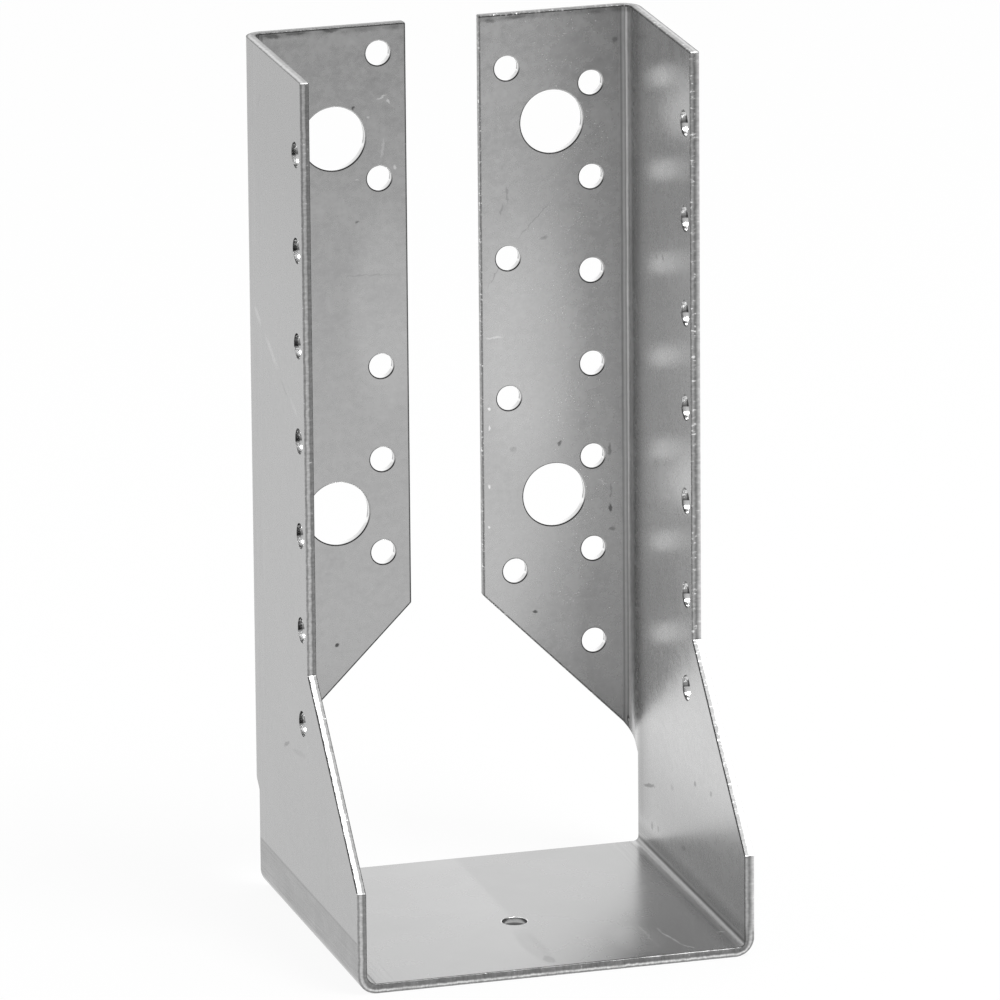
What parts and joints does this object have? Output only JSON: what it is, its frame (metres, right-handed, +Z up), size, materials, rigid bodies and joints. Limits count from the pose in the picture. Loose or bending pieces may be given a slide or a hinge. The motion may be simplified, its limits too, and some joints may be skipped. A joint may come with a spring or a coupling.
{
  "type": "joist hanger",
  "caption": "Face-fixed joist hanger with inward header flanges, folded from one galvanised steel sheet, punched for nails and bolts.",
  "frame": {"origin": "middle of the hanger's width and depth, on the underside of the seat", "axes": "+Z up along the side plates; +Y towards the header (main beam), normal to the flanges' rear face; +X to the right as seen by the joist, from the open front"},
  "size_m": [0.084, 0.08, 0.1815],
  "materials": {
    "galvanised_steel": "satin hot-dip galvanised sheet, smooth rolled, with small handling marks"
  },
  "bodies": {
    "root": {"hanger": "galvanised_steel"}
  },
  "joints": []
}
